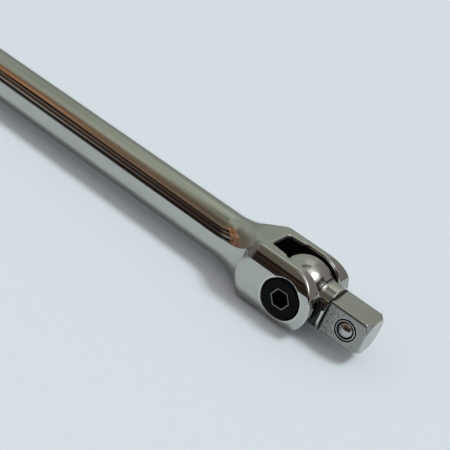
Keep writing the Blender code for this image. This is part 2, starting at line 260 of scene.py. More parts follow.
def handle_field(x, y, z):
    """The handle: the forging with its slot, counterbores, cross hole and plunger bore."""
    field = forging_field(x, y, z)
    about_pivot = np.hypot(x, z)
    flare = np.clip((x - SLOT_REAR) / SLOT_FLARE, 0.0, 1.0)
    half = SLOT_HALF_REAR + flare * (SLOT_HALF_FRONT - SLOT_HALF_REAR)
    slot = round_and(np.abs(y) - half, SLOT_REAR - x, SLOT_CORNER)
    pocket = np.maximum(about_pivot - POCKET_R, np.abs(y) - POCKET_HALF)
    field = round_and(field, -np.minimum(slot, pocket), SLOT_EDGE)
    counterbore = np.maximum(about_pivot - COUNTERBORE_R, COUNTERBORE_FLOOR - np.abs(y))
    field = round_and(field, -counterbore, COUNTERBORE_EDGE)
    field = np.maximum(field, HOLE_R - about_pivot)
    bore = np.maximum(np.hypot(y, z) - PLUNGER_BORE_R, np.maximum(PLUNGER_BORE_END - x, x))
    field = round_and(field, -bore, SLOT_EDGE)
    return np.maximum(field, GRIP_START - GRIP_CHAMFER - x)


def knuckle_field(x, y, z):
    """The head: ball with two flats, neck, collar and square, without the detent hole."""
    about_pivot = np.hypot(x, z)
    about_bar = np.hypot(y, z)
    ball = np.sqrt(x ** 2 + y ** 2 + z ** 2) - KNUCKLE_R
    collar = np.maximum(about_bar - COLLAR_R, np.maximum(x - DRIVE_END, -x))
    field = round_or(ball, collar, NECK_FILLET)
    drop = COLLAR_R - END_R
    cone = (about_bar - COLLAR_R) * END_CHAMFER + (x - DRIVE_END + END_CHAMFER) * drop
    field = round_and(field, cone / math.hypot(END_CHAMFER, drop), HEAD_SOFT_EDGE)
    field = round_and(field, x - DRIVE_END, HEAD_SOFT_EDGE)
    relief = np.maximum(about_pivot - RELIEF_R, KNUCKLE_HALF - np.abs(y))
    field = round_and(field, -relief, RELIEF_EDGE)
    recess = np.maximum(about_pivot - RECESS_R, RECESS_FLOOR - np.abs(y))
    field = np.maximum(field, -recess)
    field = np.maximum(field, HOLE_R - about_pivot)
    square = round_and(np.abs(y) - SQUARE_HALF, np.abs(z) - SQUARE_HALF, SQUARE_CORNER)
    return round_and(field, np.minimum(square, x - SHOULDER_X), HEAD_SOFT_EDGE)


def head_field(x, y, z):
    """The head with its detent hole, staked in to a lip, and the groove that the punch left."""
    field = knuckle_field(x, y, z)
    from_hole = np.hypot(x - DETENT_X, z)
    depth = y + SQUARE_HALF
    mouth = MOUTH_R - np.clip(depth / MOUTH_DEPTH, 0.0, 1.0) * (MOUTH_R - LIP_R)
    widening = np.clip(LIP_R + (depth - LIP_DEPTH), LIP_R, DETENT_BORE_R)
    wall = np.where(depth < LIP_DEPTH, mouth, widening)
    hole = np.maximum((from_hole - wall) * MOUTH_EASE, depth - DETENT_HOLE_DEPTH)
    field = np.maximum(field, -hole)
    groove = (STAKE_HALF - np.abs(from_hole - STAKE_R)) * STAKE_DEPTH / STAKE_HALF
    return np.maximum(field, (groove - depth) * STAKE_EASE)


def hex_field(x, y, z, low, high):
    """A hex prism along the swivel axis, from low to high."""
    field = np.maximum(low - y, y - high)
    for side in range(3):
        angle = HEX_TURN + math.radians(30.0 + 60.0 * side)
        field = np.maximum(field, np.abs(x * math.cos(angle) + z * math.sin(angle)) - HEX_HALF)
    return field


def screw_field(x, y, z):
    """The screw: head with a hex socket, a plain neck and the thread."""
    about_pivot = np.hypot(x, z)
    under = HEAD_THICKNESS - HEAD_TOP
    head = round_and(about_pivot - HEAD_R, np.maximum(-HEAD_TOP - y, y - under), HEAD_EDGE)
    turn = np.arctan2(z, x) / (2.0 * math.pi)
    phase = y / THREAD_PITCH - turn
    crest = np.abs(2.0 * (phase - np.floor(phase)) - 1.0)
    thread = (about_pivot - THREAD_R + THREAD_DEPTH * (1.0 - crest)) * THREAD_EASE
    plain = np.maximum(about_pivot - THREAD_R, y - PLAIN_SHAFT_END)
    shaft = np.maximum(np.minimum(thread, plain), np.maximum(y - SCREW_END, under - 1.0 - y))
    tip = (about_pivot + y - SCREW_END - THREAD_R + SCREW_CHAMFER) * THREAD_EASE
    field = round_or(head, np.maximum(shaft, tip), UNDER_FILLET)
    socket = hex_field(x, y, z, -HEAD_TOP - 2.0, -HEAD_TOP + HEX_DEPTH)
    return round_and(field, -socket, HEX_EDGE)


def nut_field(x, y, z):
    """The sleeve nut: head with a hex socket, and the sleeve that the knuckle turns on."""
    about_pivot = np.hypot(x, z)
    under = COUNTERBORE_FLOOR + NUT_LIFT
    head = round_and(about_pivot - HEAD_R, np.maximum(y - HEAD_TOP, under - y), HEAD_EDGE)
    sleeve = np.maximum(about_pivot - SLEEVE_R, np.maximum(SLEEVE_NEAR - y, y - under - 1.0))
    field = round_or(head, sleeve, UNDER_FILLET)
    bore_end = np.maximum(y - SCREW_END - SLEEVE_BORE_PAST, 2.0 * SLEEVE_NEAR - y)
    bore = np.maximum(about_pivot - SLEEVE_BORE_R, bore_end)
    field = round_and(field, -bore, SLEEVE_BORE_EDGE)
    socket = hex_field(x, y, z, HEAD_TOP - NUT_HEX_DEPTH, HEAD_TOP + 2.0)
    return round_and(field, -socket, HEX_EDGE)


def detent_field(x, y, z):
    return np.sqrt((x - DETENT_X) ** 2 + (y - DETENT_Y) ** 2 + z ** 2) - DETENT_R


# ---------------------------------------------------------------- meshing

CORNERS = np.array([(i, j, k) for i in (0, 1) for j in (0, 1) for k in (0, 1)])
CELL_EDGES = [(a, b) for a in range(8) for b in range(a + 1, 8)
              if np.abs(CORNERS[a] - CORNERS[b]).sum() == 1]
SETTLE_ROUNDS = 5
LEAST_SLOPE = 0.05
SHARP_TURN = math.radians(40.0)
SHARP_KNURL = math.radians(50.0)
WIRE_SIDES = 14
COIL_STEPS = 40
CLOSED_TURNS = 0.8
GROUND_OFF = 0.25


def steps(*stops):
    """Lines through rising (place, spacing) stops: each spacing holds up to the next place."""
    lines = []
    for (start, spacing), (end, _) in zip(stops, stops[1:]):
        count = max(1, round((end - start) / spacing))
        lines += [start + (end - start) * i / count for i in range(count)]
    return np.array(lines + [stops[-1][0]])


def slope_of(field, points, reach=0.01):
    """How fast the field rises along each axis at the points."""
    slopes = []
    for axis in range(3):
        shift = np.zeros(3)
        shift[axis] = reach
        slopes.append((field(*(points + shift).T) - field(*(points - shift).T)) / (2.0 * reach))
    return np.stack(slopes, axis=1)


def skin_of(field, xs, ys, zs):
    """Points, faces and normals of the surface where the field is zero, by surface nets."""
    axes = (xs, ys, zs)
    values = field(*np.meshgrid(xs, ys, zs, indexing="ij"))
    inside = values < 0.0
    shape = np.array(inside.shape) - 1
    filled = np.zeros(shape, int)
    for i, j, k in CORNERS:
        filled += inside[i:i + shape[0], j:j + shape[1], k:k + shape[2]]
    cells = np.argwhere((filled > 0) & (filled < 8))
    number = np.full(shape, -1)
    number[tuple(cells.T)] = np.arange(len(cells))
    corners = cells[:, None, :] + CORNERS[None, :, :]
    at = values[tuple(np.moveaxis(corners, 2, 0))]
    place = np.stack([axes[a][corners[:, :, a]] for a in range(3)], axis=2)
    total = np.zeros((len(cells), 3))
    crossings = np.zeros(len(cells))
    for a, b in CELL_EDGES:
        crossed = (at[:, a] < 0.0) != (at[:, b] < 0.0)
        gap = np.where(crossed, at[:, a] - at[:, b], 1.0)
        share = (at[:, a] / gap)[:, None]
        total += crossed[:, None] * (place[:, a] + share * (place[:, b] - place[:, a]))
        crossings += crossed
    points = total / crossings[:, None]
    faces = []
    for axis in range(3):
        low = np.moveaxis(inside, axis, 0)[:-1]
        high = np.moveaxis(inside, axis, 0)[1:]
        nodes = np.argwhere(low != high)
        rotated = np.empty_like(nodes)
        others = [a for a in range(3) if a != axis]
        rotated[:, axis] = nodes[:, 0]
        rotated[:, others[0]] = nodes[:, 1]
        rotated[:, others[1]] = nodes[:, 2]
        back_u = np.zeros(3, int)
        back_v = np.zeros(3, int)
        back_u[(axis + 1) % 3] = 1
        back_v[(axis + 2) % 3] = 1
        ring = [rotated - back_u - back_v, rotated - back_v, rotated, rotated - back_u]
        quads = np.stack([number[tuple(cell.T)] for cell in ring], axis=1)
        flipped = ~low[tuple(nodes.T)]
        quads[flipped] = quads[flipped][:, ::-1]
        faces.append(quads)
    cell_size = min(np.diff(lines).min() for lines in axes)
    for _ in range(SETTLE_ROUNDS):
        slopes = slope_of(field, points)
        length = np.maximum((slopes ** 2).sum(axis=1), LEAST_SLOPE)
        move = np.clip(field(*points.T) / length, -cell_size, cell_size)
        points = points - slopes * move[:, None]
    normals = slope_of(field, points)
    normals /= np.maximum(np.linalg.norm(normals, axis=1), 1e-9)[:, None]
    return points, np.concatenate(faces), normals


def to_frame(points):
    """Millimetres from the swivel axis to metres in the row frame."""
    return (points + np.array([PIVOT, 0.0, 0.0])) * MM


def add_piece(name, points, faces, body, material, replaced=()):
    """A smooth mesh piece that rides on a body and stands for CAD nodes."""
    mesh = bpy.data.meshes.new(name)
    mesh.from_pydata(to_frame(points).tolist(), [], [list(face) for face in faces])
    mesh.validate()
    mesh.shade_smooth()
    mesh.materials.append(material)
    piece = bpy.data.objects.new(name, mesh)
    bpy.context.scene.collection.objects.link(piece)
    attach(piece, body)
    if replaced:
        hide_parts(*replaced)
    return piece


def smooth(values, low, high):
    """Smooth step from 0 at low to 1 at high, which may be the lesser."""
    share = np.clip((values - low) / (high - low), 0.0, 1.0)
    return share * share * (3.0 - 2.0 * share)


def add_weights(piece, **weights):
    """Numbers per point that materials read, such as how sharp an edge is there."""
    for name, values in weights.items():
        attribute = piece.data.attributes.new(name, "FLOAT", "POINT")
        attribute.data.foreach_set("value", values.astype(np.float32))


def add_solid(name, field, grid, body, material, replaced, reach=0.8):
    """A piece meshed from a field, with its own normals and its edge and hollow weights."""
    points, faces, normals = skin_of(field, *grid)
    piece = add_piece(name, points, faces, body, material, replaced)
    piece.data.normals_split_custom_set_from_vertices(normals.tolist())
    edge = np.clip((field(*(points - normals * reach).T) + reach) / reach, 0.0, 1.0)
    hollow = np.clip((reach - field(*(points + normals * reach).T)) / reach, 0.0, 1.0)
    add_weights(piece, edge=edge, hollow=hollow)
    return piece


def turned(profile, axis, segments):
    """Points and faces of (along, radius) rows turned round X or Y."""
    angles = np.arange(segments) * 2.0 * math.pi / segments
    rows = []
    for along, radius in profile:
        level = np.full(segments, along)
        first = radius * np.cos(angles)
        second = radius * np.sin(angles)
        sides = [level, first, second] if axis == "X" else [second, level, first]
        rows.append(np.stack(sides, axis=1))
    return np.concatenate(rows), rows_to_faces(len(profile), segments)


def rows_to_faces(rows, around):
    """Quads between rows of points that each go once round."""
    faces = []
    for row in range(rows - 1):
        here = row * around + np.arange(around)
        after = row * around + (np.arange(around) + 1) % around
        faces.append(np.stack([here, after, after + around, here + around], axis=1))
    return np.concatenate(faces)


def rounded(corners, radius, count=4):
    """An outline through (along, radius) corners, each corner cut to a small arc."""
    outline = [corners[0]]
    for before, here, after in zip(corners, corners[1:], corners[2:]):
        here = np.array(here)
        back = np.array(before) - here
        on = np.array(after) - here
        back = back / np.linalg.norm(back)
        on = on / np.linalg.norm(on)
        for i in range(count + 1):
            share = i / count
            bend = back * (1.0 - share) ** 2 + on * share ** 2
            outline.append(tuple(here + bend * radius))
    return outline + [corners[-1]]


def weld(piece):
    """Merge the points where rows meet at the axis or close on themselves, and face outwards."""
    bm = bmesh.new()
    bm.from_mesh(piece.data)
    bmesh.ops.remove_doubles(bm, verts=bm.verts, dist=1e-7)
    bmesh.ops.dissolve_degenerate(bm, edges=bm.edges, dist=1e-8)
    bmesh.ops.recalc_face_normals(bm, faces=bm.faces)
    bm.to_mesh(piece.data)
    bm.free()
    return piece


def add_turned(name, profile, axis, segments, body, material, replaced=()):
    """A piece turned from a profile, with sharp edges left sharp."""
    points, faces = turned(profile, axis, segments)
    piece = weld(add_piece(name, points, faces, body, material, replaced))
    piece.data.set_sharp_from_angle(angle=SHARP_TURN)
    return piece


def washer_outline(low, high, inner, middle, outer, edge):
    """The closed outline of a flat ring, from the middle of one face round to it again."""
    start = (low, middle)
    return rounded([start, (low, inner), (high, inner), (high, outer), (low, outer), start], edge)


def add_spring(name, axis, start, end, coil, offset, body, material, replaced):
    """A coil of round wire whose end turns close up and are ground flat."""
    radius, wire, turns = coil
    around = WIRE_SIDES
    count = int(turns * COIL_STEPS)
    places = np.linspace(0.0, 1.0, count + 1)
    climb = np.clip((places * turns - CLOSED_TURNS) / (turns - 2.0 * CLOSED_TURNS), 0.0, 1.0)
    along = start + wire + (end - start - 2.0 * wire) * climb
    angles = 2.0 * math.pi * turns * places
    outward = np.stack([np.zeros_like(angles), np.cos(angles), np.sin(angles)], axis=1)
    path = radius * outward
    path[:, 0] = along
    forward = np.gradient(path, axis=0)
    forward /= np.linalg.norm(forward, axis=1)[:, None]
    side = np.cross(forward, outward)
    turn = np.arange(around) * 2.0 * math.pi / around
    out_part = np.cos(turn)[None, :, None] * outward[:, None, :]
    side_part = np.sin(turn)[None, :, None] * side[:, None, :]
    points = (path[:, None, :] + wire * (out_part + side_part)).reshape(-1, 3)
    points[:, 0] = np.clip(points[:, 0], start + GROUND_OFF * wire, end - GROUND_OFF * wire)
    if axis == "Y":
        points = points[:, [1, 0, 2]] * np.array([-1.0, 1.0, 1.0])
    ring = np.arange(around).tolist()
    faces = rows_to_faces(count + 1, around).tolist()
    faces += [ring, [count * around + i for i in reversed(ring)]]
    points = points + np.array(offset)
    return weld(add_piece(name, points, faces, body, material, replaced))


# ---------------------------------------------------------------- materials

class Shader:
    """A material's node tree, with short ways to add the nodes that the materials here need."""

    def __init__(self, name):
        self.material = bpy.data.materials.new(name)
        self.material.use_nodes = True
        self.tree = self.material.node_tree
        self.surface = self.tree.nodes["Principled BSDF"]
        coords = self.tree.nodes.new("ShaderNodeTexCoord")
        self.place = coords.outputs["Object"]

    def link(self, source, socket):
        self.tree.links.new(source, socket)

    def set(self, **values):
        for name, value in values.items():
            self.surface.inputs[name.replace("_", " ")].default_value = value

    def feed(self, name, source):
        self.link(source, self.surface.inputs[name])

    def node(self, kind, inputs, output=0, **settings):
        made = self.tree.nodes.new(kind)
        for name, value in settings.items():
            setattr(made, name, value)
        for name, value in inputs.items():
            if isinstance(value, bpy.types.NodeSocket):
                self.link(value, made.inputs[name])
            else:
                made.inputs[name].default_value = value
        return made.outputs[output]

    def attribute(self, name):
        return self.node("ShaderNodeAttribute", {}, output="Fac", attribute_name=name)

    def noise(self, scale, detail=3.0, roughness=0.5, turn=(0.0, 0.0, 0.0)):
        """Noise whose scale is in cycles per millimetre along each axis."""
        grid = [s / MM for s in scale]
        spot = self.node("ShaderNodeMapping", {
            "Vector": self.place, "Scale": grid, "Rotation": turn,
        })
        return self.node("ShaderNodeTexNoise", {
            "Vector": spot, "Scale": 1.0, "Detail": detail, "Roughness": roughness,
        })

    def ramp(self, source, low, high, start=0.0, end=1.0):
        """Smooth step from start at low to end at high."""
        return self.node("ShaderNodeMapRange", {
            "Value": source, "From Min": low, "From Max": high, "To Min": start, "To Max": end,
        }, interpolation_type="SMOOTHSTEP")

    def maths(self, operation, first, second=0.0):
        return self.node("ShaderNodeMath", {0: first, 1: second}, operation=operation)

    def times(self, first, second):
        return self.maths("MULTIPLY", first, second)

    def plus(self, first, second):
        return self.maths("ADD", first, second)

    def mix(self, factor, first, second):
        made = self.tree.nodes.new("ShaderNodeMix")
        made.data_type = "RGBA"
        for index, value in ((0, factor), (6, first), (7, second)):
            if isinstance(value, bpy.types.NodeSocket):
                self.link(value, made.inputs[index])
            else:
                made.inputs[index].default_value = value if index == 0 else (*value, 1.0)
        return made.outputs[2]

    def cover(self, tone, weight, share, tint):
        """The tone, covered with a tint by a share of the weight."""
        return self.mix(self.times(weight, share), tone, tint)

    def edge_and_hollow(self):
        """The two weights that add_solid() and make_grip() put on a piece, as masks."""
        edge = self.ramp(self.attribute("edge"), 0.02, 0.25)
        hollow = self.ramp(self.attribute("hollow"), 0.03, 0.5)
        return edge, hollow

    def bump(self, height, distance, normal=None):
        """Bump of a height in millimetres."""
        inputs = {"Height": height, "Distance": distance * MM}
        if normal is not None:
            inputs["Normal"] = normal
        return self.node("ShaderNodeBump", inputs, output="Normal")


# Painted shade for the slot, the bores and a band of the turned shoulder.
INNER_SHADE = (0.006, 0.0055, 0.005)
# Painted shade, with some grime, for hollows and knurl grooves.
HOLLOW_SHADE_AND_GRIME = (0.06, 0.055, 0.05)
DUST = (0.2, 0.19, 0.18)
CHROME = (0.485, 0.49, 0.465)
# Painted highlight for edges and knurl crests.
EDGE_HIGHLIGHT = (0.72, 0.72, 0.70)
HEAD_CHROME = (0.48, 0.48, 0.46)
HEAD_SMEARED = (0.43, 0.43, 0.41)
# Painted highlight for the head's edges.
HEAD_EDGE_HIGHLIGHT = (0.75, 0.75, 0.74)
SQUARE_TONE = (0.25, 0.25, 0.24)
MILLED_TONE = (0.28, 0.29, 0.27)
PIT_TONE = (0.02, 0.02, 0.02)
# Painted shade for the head's hollows.
HEAD_HOLLOW_SHADE = (0.05, 0.045, 0.04)
# Painted shade with some grime, together with random film marks, on the head.
FILM_AND_SHADE_TONE = (0.016, 0.015, 0.013)
OXIDE_DARK = (0.0012, 0.0018, 0.0022)
OXIDE_PALE = (0.0035, 0.0042, 0.005)
BARE_EDGE = (0.3, 0.3, 0.29)
STEEL = (0.5, 0.5, 0.49)
SPRING_STEEL = (0.4, 0.39, 0.37)
PAPER_DARK = (0.76, 0.81, 0.84)
PAPER_PALE = (0.79, 0.84, 0.87)


def polished_chrome(name):
    """Plated forging: near-mirror, with slow waves, smears and fine scratches, hollows darkened
    with painted shade and grime, and edges lightened with a painted highlight.
    """
    shader = Shader(name)
    shader.set(Specular_IOR_Level=0.1, Specular_Tint=(0.7, 0.7, 0.7, 1.0))
    edge, hollow = shader.edge_and_hollow()
    # Painted shade: the inner weight makes the slot, the bores and a shoulder band dark, dull and
    # less metallic.
    inner = shader.attribute("inner")
    shader.feed("Metallic", shader.maths("SUBTRACT", 1.0, shader.times(inner, 0.85)))
    smears = shader.noise((0.035, 0.16, 0.16), detail=5.0)
    dust = shader.noise((1.3, 1.3, 1.3), detail=2.0)
    smeared = [0.9 * c for c in CHROME]
    tone = shader.mix(shader.ramp(smears, 0.3, 0.75), CHROME, smeared)
    # Painted shade with some grime: hollows go brown.
    tone = shader.cover(tone, hollow, 0.75, HOLLOW_SHADE_AND_GRIME)
    # Painted highlight: convex edges and knurl crests are lightened.
    tone = shader.cover(tone, edge, 0.45, EDGE_HIGHLIGHT)
    tone = shader.cover(tone, shader.ramp(dust, 0.66, 0.74), 0.45, DUST)
    tone = shader.mix(inner, tone, INNER_SHADE)
    shader.feed("Base Color", tone)
    rough = shader.ramp(smears, 0.4, 0.8, 0.03, 0.10)
    rough = shader.plus(rough, shader.times(hollow, 0.3))
    rough = shader.plus(rough, shader.times(inner, 0.3))
    shader.feed("Roughness", rough)
    waves = shader.noise((0.03, 0.13, 0.13), detail=1.0)
    scratches = shader.noise((0.05, 3.0, 3.0), detail=4.0, roughness=0.7)
    cross = shader.noise((2.5, 0.12, 2.5), detail=3.0, turn=(0.0, 0.4, 0.3))
    normal = shader.bump(waves, 0.025)
    normal = shader.bump(shader.ramp(scratches, 0.45, 0.75), 0.0008, normal)
    normal = shader.bump(shader.ramp(cross, 0.62, 0.75), 0.0012, normal)
    shader.feed("Normal", normal)
    return shader.material


def machined_head(name):
    """The drive head: polished ball and collar, and a square with pits and cutter marks."""
    shader = Shader(name)
    shader.set(Metallic=1.0)
    parts = shader.tree.nodes.new("ShaderNodeSeparateXYZ")
    shader.link(shader.place, parts.inputs[0])
    along = parts.outputs["X"]
    edge, hollow = shader.edge_and_hollow()
    side = shader.attribute("side")
    grime = shader.attribute("grime")
    square_x = (PIVOT + SHOULDER_X) * MM
    on_square = shader.ramp(along, square_x - 0.1 * MM, square_x + 0.1 * MM)
    milled = shader.times(on_square, side)
    smears = shader.noise((0.1, 0.14, 0.14), detail=5.0)
    tone = shader.mix(shader.ramp(smears, 0.3, 0.75), HEAD_CHROME, HEAD_SMEARED)
    marks = shader.noise((2.4, 2.4, 2.0), detail=4.0, roughness=0.7)
    deeper = shader.ramp(along, square_x + 11.0 * MM, square_x, 0.0, 0.10)
    pits = shader.times(shader.ramp(shader.plus(marks, deeper), 0.60, 0.67), milled)
    grain = shader.noise((3.0, 3.0, 3.0), detail=3.0)
    tone = shader.cover(tone, on_square, 0.3, SQUARE_TONE)
    tone = shader.cover(tone, milled, 0.75, MILLED_TONE)
    tone = shader.cover(tone, pits, 0.88, PIT_TONE)
    # Painted shade: the head's hollows are darkened.
    tone = shader.cover(tone, hollow, 0.8, HEAD_HOLLOW_SHADE)
    # Painted highlight: the head's edges are lightened.
    tone = shader.cover(tone, edge, 0.3, HEAD_EDGE_HIGHLIGHT)
    # Painted shade with some grime: this weight, with random film marks, darkens the lower neck,
    # the creases, the shoulder line, the detent hole's rim and the pivot recess.
    film = shader.plus(grime, shader.times(shader.maths("SUBTRACT", marks, 0.5), 0.8))
    tone = shader.cover(tone, shader.ramp(film, 0.25, 0.6), 0.93, FILM_AND_SHADE_TONE)
    shader.feed("Base Color", tone)
    rough = shader.ramp(smears, 0.35, 0.8, 0.02, 0.08)
    rough = shader.plus(rough, shader.times(on_square, 0.11))
    rough = shader.plus(rough, shader.times(milled, 0.18))
    rough = shader.plus(rough, shader.times(grime, 0.25))
    shader.feed("Roughness", rough)
    waves = shader.noise((0.12, 0.12, 0.12), detail=1.0)
    scratches = shader.noise((0.15, 2.5, 2.5), detail=4.0, roughness=0.7)
    normal = shader.bump(waves, 0.02)
    normal = shader.bump(shader.ramp(scratches, 0.5, 0.75), 0.0015, normal)
    rough_cut = shader.times(milled, shader.maths("SUBTRACT", grain, pits))
    normal = shader.bump(rough_cut, 0.02, normal)
    shader.feed("Normal", normal)
    return shader.material


def black_oxide(name):
    """Blackened steel, worn to bare metal along its edges."""
    shader = Shader(name)
    shader.set(Specular_IOR_Level=0.06)
    edge = shader.attribute("edge")
    scuffs = shader.noise((1.2, 1.2, 1.2), detail=5.0, roughness=0.7)
    worn = shader.ramp(shader.plus(edge, shader.times(scuffs, 0.12)), 0.16, 0.24)
    blotches = shader.noise((0.25, 0.25, 0.25), detail=4.0)
    tone = shader.mix(shader.ramp(blotches, 0.3, 0.7), OXIDE_DARK, OXIDE_PALE)
    shader.feed("Base Color", shader.cover(tone, worn, 0.7, BARE_EDGE))
    shader.feed("Metallic", shader.times(worn, 0.9))
    shader.feed("Roughness", shader.ramp(scuffs, 0.3, 0.75, 0.24, 0.42))
    shader.feed("Normal", shader.bump(scuffs, 0.006))
    return shader.material


def ground_steel(name, base, roughness, lines):
    """Bare hardened steel with an oil film, and fine lines at the given noise scales."""
    shader = Shader(name)
    shader.set(Metallic=1.0)
    film = shader.noise((0.3, 0.3, 0.3), detail=4.0)
    grain = shader.noise(lines, detail=3.0, roughness=0.7)
    filmed = [0.7 * c for c in base]
    shader.feed("Base Color", shader.mix(shader.ramp(film, 0.3, 0.7), base, filmed))
    shader.feed("Roughness", shader.ramp(film, 0.3, 0.75, roughness, roughness + 0.12))
    shader.feed("Normal", shader.bump(grain, 0.002))
    return shader.material


def paper(name):
    """Plain matt sheet with a faint fibre texture."""
    shader = Shader(name)
    shader.set(Roughness=0.85)
    fibres = shader.noise((0.4, 0.4, 0.4), detail=5.0)
    shader.feed("Base Color", shader.mix(fibres, PAPER_DARK, PAPER_PALE))
    shader.feed("Normal", shader.bump(fibres, 0.02))
    return shader.material


# ---------------------------------------------------------------- pieces

def point_values(piece, name):
    """A vector that each of a piece's points has, such as its place, as rows."""
    values = np.zeros(len(piece.data.vertices) * 3)
    piece.data.vertices.foreach_get(name, values)
    return values.reshape(-1, 3)


def places_of(piece):
    """The x, y and z of a piece's points, in millimetres from the swivel axis."""
    return (point_values(piece, "co") / MM - np.array([PIVOT, 0.0, 0.0])).T


def make_handle(material):
    """Shank and yoke. The inner weight marks the slot, the bores and a band of the turned shoulder,
    for painted shade.
    """
    fine = HANDLE_GRID
    yoke_lines = steps((YOKE_START, fine), (YOKE_H + MARGIN, fine))
    shank_lines = steps((GRIP_START - 2.0, 0.5), (GRIP_START, 4.0), (-44.0, 1.0),
                        (YOKE_START, fine))
    xs = np.concatenate([shank_lines[:-1], yoke_lines])
    ys = steps((-YOKE_W - MARGIN, fine), (YOKE_W + MARGIN, fine))
    zs = steps((-YOKE_H - MARGIN, fine), (YOKE_H + MARGIN, fine))
    grid = (xs, ys, zs)
    handle = add_solid("handle", handle_field, grid, "handle", material, ["handle_bar"])
    x, y, z = places_of(handle)
    # Painted shade: the slot and bores go darker the deeper in they are, and a band of the turned
    # shoulder is darkened too.
    inside = np.clip((-forging_field(x, y, z) - 0.35) / 0.7, 0.0, 1.0)
    shoulder_shade = 0.45 * smooth(np.hypot(y, z), YOKE_R - 1.3, YOKE_R - 0.6) * smooth(x, -15.0, -16.2)
    shoulder_shade = shoulder_shade * smooth(np.abs(y), YOKE_W - 0.05, YOKE_W - 0.5)
    add_weights(handle, inner=np.maximum(inside, shoulder_shade))


def knurl(x, angle):
    """Height of the diamond knurl, from 0 in its grooves to KNURL_CREST on its flat crests."""
    turns = KNURL_COUNT * angle / (2.0 * math.pi)
    along = (x - GRIP_START + PLAIN_END) / KNURL_PITCH
    right, left = (np.abs(2.0 * (lead - np.floor(lead)) - 1.0)
                   for lead in (turns + along, turns - along))
    return np.minimum(KNURL_STEEPNESS * (1.0 - np.maximum(right, left)), KNURL_CREST)


def make_grip(material):
    """Knurled barrel, groove and rounded pommel, on the end of the shank."""
    around = KNURL_COUNT * KNURL_CUTS
    first = GRIP_END + PLAIN_END
    last = GRIP_START - PLAIN_END
    rows = steps((GRIP_END, 0.25), (first, KNURL_PITCH / KNURL_CUTS), (last, 0.25),
                 (GRIP_START, 0.25))[::-1]
    angles = np.arange(around) * 2.0 * math.pi / around
    x, angle = np.meshgrid(rows, angles, indexing="ij")
    from_end = np.minimum(GRIP_START - x, x - GRIP_END)
    base = GRIP_R - np.clip(GRIP_CHAMFER - from_end, 0.0, GRIP_CHAMFER) * (GRIP_R - SHANK_R)
    depth = KNURL_DEPTH * np.clip((from_end - 1.4) / 0.8, 0.0, 1.0)
    height = knurl(x, angle)
    radius = base + depth * (height - 0.5)
    barrel = np.stack([x, radius * np.cos(angle), radius * np.sin(angle)], axis=2)
    barrel = barrel.reshape(-1, 3)
    outline = [(GRIP_END, SHANK_R), (GRIP_END, GROOVE_R), (GRIP_END - GROOVE_WIDTH, GROOVE_R)]
    outline += [(GRIP_END - GROOVE_WIDTH - GRIP_CHAMFER, POMMEL_R)]
    outline = rounded(outline, 0.2)
    for i in range(POMMEL_STEPS + 1):
        turn = 0.5 * math.pi * i / POMMEL_STEPS
        level = BAR_BACK + POMMEL_EDGE * (1.0 - math.sin(turn))
        outline.append((level, POMMEL_R - POMMEL_EDGE * (1.0 - math.cos(turn))))
    outline.append((BAR_BACK, 0.0))
    tail, _ = turned(outline, "X", around)
    points = np.concatenate([[[GRIP_START + 1.0, 0.0, 0.0]] * around, barrel, tail])
    a, b, c, d = rows_to_faces(len(points) // around, around).T
    plain = np.zeros(around)
    rest = np.zeros(len(tail))
    level = np.concatenate([plain + 1.0, (depth * height / KNURL_DEPTH).ravel(), rest + 1.0])
    # Each quad is split along its lower diagonal, so that grooves and crests run unbroken.
    crease = (level[a] + level[c] <= level[b] + level[d])[:, None]
    halves = (np.where(crease, np.stack([a, b, c], axis=1), np.stack([a, b, d], axis=1)),
              np.where(crease, np.stack([a, c, d], axis=1), np.stack([b, c, d], axis=1)))
    piece = add_piece("grip", points, np.concatenate(halves), "handle", material)
    # Grooves get the hollow weight, for painted shade and grime, and flat crests the edge weight,
    # for a painted highlight.
    groove = depth / KNURL_DEPTH * np.clip(0.45 - height, 0.0, 1.0)
    crest = depth / KNURL_DEPTH * np.where(height > 0.8, 0.25, 0.0)
    add_weights(piece, hollow=np.concatenate([plain, groove.ravel(), rest]),
                edge=np.concatenate([plain, crest.ravel(), rest]))
    weld(piece)
    piece.data.set_sharp_from_angle(angle=SHARP_KNURL)


